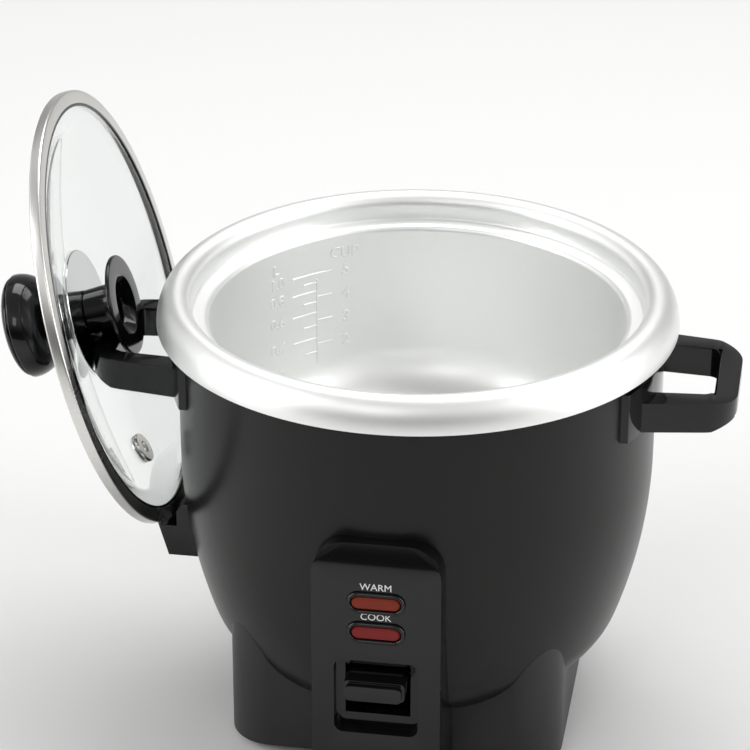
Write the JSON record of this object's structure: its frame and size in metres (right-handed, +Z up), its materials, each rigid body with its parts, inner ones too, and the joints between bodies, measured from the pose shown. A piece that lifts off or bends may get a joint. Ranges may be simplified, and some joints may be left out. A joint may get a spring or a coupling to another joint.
{
  "type": "rice cooker",
  "caption": "Small drum-shaped rice cooker with a lift-out pot, a front cook lever under its lamps, loop handles and a glass lid parked on one handle.",
  "frame": {"origin": "on the table, straight under the centre of the pot", "axes": "+Z up; the control panel faces -Y; the parked lid hangs on the -X handle"},
  "size_m": [0.3274, 0.236, 0.2732],
  "materials": {
    "shell_gloss": "high gloss",
    "black_gloss": "high gloss",
    "black_matte": "fine texture",
    "pot_aluminium": "satin",
    "liner_steel": "plain sheet",
    "band_steel": "brushed",
    "disc_steel": "polished",
    "fixing_steel": "zinc plated",
    "sheet_steel": "plain sheet",
    "plate_cast": "machined casting",
    "sheath_metal": "oxidised",
    "sensor_metal": "satin",
    "ferrite": "sintered",
    "lid_glass": "clear tempered",
    "seal_rubber": "smooth",
    "foot_rubber": "smooth",
    "silicone": "smooth",
    "warm_lens": "translucent orange-red",
    "cook_lens": "translucent red",
    "lamp_glass": "clear",
    "cream_plastic": "moulded",
    "mica": "woven sheath",
    "fuse_sleeve": "braided sleeve",
    "wire_red": "insulated",
    "contact_brass": "plated"
  },
  "bodies": {
    "cooker": {"outer_shell": "shell_gloss", "inner_liner": "liner_steel", "base_housing": "black_matte", "bottom_cover": "sheet_steel", "rubber_feet": "foot_rubber", "base_screws": "fixing_steel", "base_nuts": "fixing_steel", "cover_screws": "fixing_steel", "control_panel": "black_gloss", "panel_screws": "fixing_steel", "lens_bezels": "black_gloss", "warm_lens": "warm_lens", "cook_lens": "cook_lens", "lamp_holder": "cream_plastic", "neon_lamps": "lamp_glass", "lever_pin": "fixing_steel", "lever_bracket": "sheet_steel", "heating_plate": "plate_cast", "heating_element": "sheath_metal", "plate_posts": "sheet_steel", "plate_screws": "fixing_steel", "thermostat_can": "sheet_steel", "can_screws": "fixing_steel", "microswitch": "black_matte", "keep_warm_heater": "mica", "thermal_fuse": "fuse_sleeve", "terminal_block": "cream_plastic", "wiring": "wire_red", "power_inlet": "black_matte", "inlet_pins": "contact_brass", "left_handle": "black_gloss", "right_handle": "black_gloss", "handle_screws": "fixing_steel", "lid_bracket": "black_gloss", "bracket_screws": "fixing_steel"},
    "pot": {"cooking_pot": "pot_aluminium"},
    "lid": {"lid_glass": "lid_glass", "lid_rim_band": "band_steel", "rim_seal": "seal_rubber", "stem_collar": "black_gloss", "lid_knob": "black_gloss", "knob_cap": "black_gloss", "hanging_hub": "black_gloss", "hub_disc": "disc_steel", "hub_washer": "silicone", "lid_screw": "fixing_steel", "vent_grommet": "band_steel"},
    "lever": {"cook_lever": "black_gloss"},
    "magnet_rod": {"thermostat_rod": "fixing_steel", "magnet": "ferrite", "rod_spring": "fixing_steel"},
    "sensor": {"sensor_cap": "sensor_metal", "ferrite_disc": "ferrite", "sensor_spring": "fixing_steel"}
  },
  "joints": [
    {"name": "pot_lift", "type": "slide", "parent": "cooker", "child": "pot", "axis": [0, 0, 1], "range_m": [0, 0.12]},
    {"name": "lid_lift", "type": "slide", "parent": "cooker", "child": "lid", "axis": [-0.4741, 0, 0.8805], "range_m": [0, 0.2]},
    {"name": "lever_press", "type": "hinge", "parent": "cooker", "child": "lever", "pos_m": [0, -0.05, 0.04595], "axis": [1, 0, 0], "range_deg": [0, 8], "stiffness_Nm_per_rad": 0.3, "springref_deg": -17.19},
    {"name": "magnet_rise", "type": "slide", "parent": "cooker", "child": "magnet_rod", "axis": [0, 0, 1], "range_m": [0, 0.007], "deforming": ["rod_spring"]},
    {"name": "sensor_give", "type": "slide", "parent": "cooker", "child": "sensor", "axis": [0, 0, 1], "range_m": [-0.0012, 0], "stiffness_N_per_m": 300, "springref_m": 0.004, "deforming": ["sensor_spring"]}
  ],
  "couplings": [
    {"joint": "magnet_rise", "follows": "lever_press", "m_per_rad": 0.0497}
  ]
}
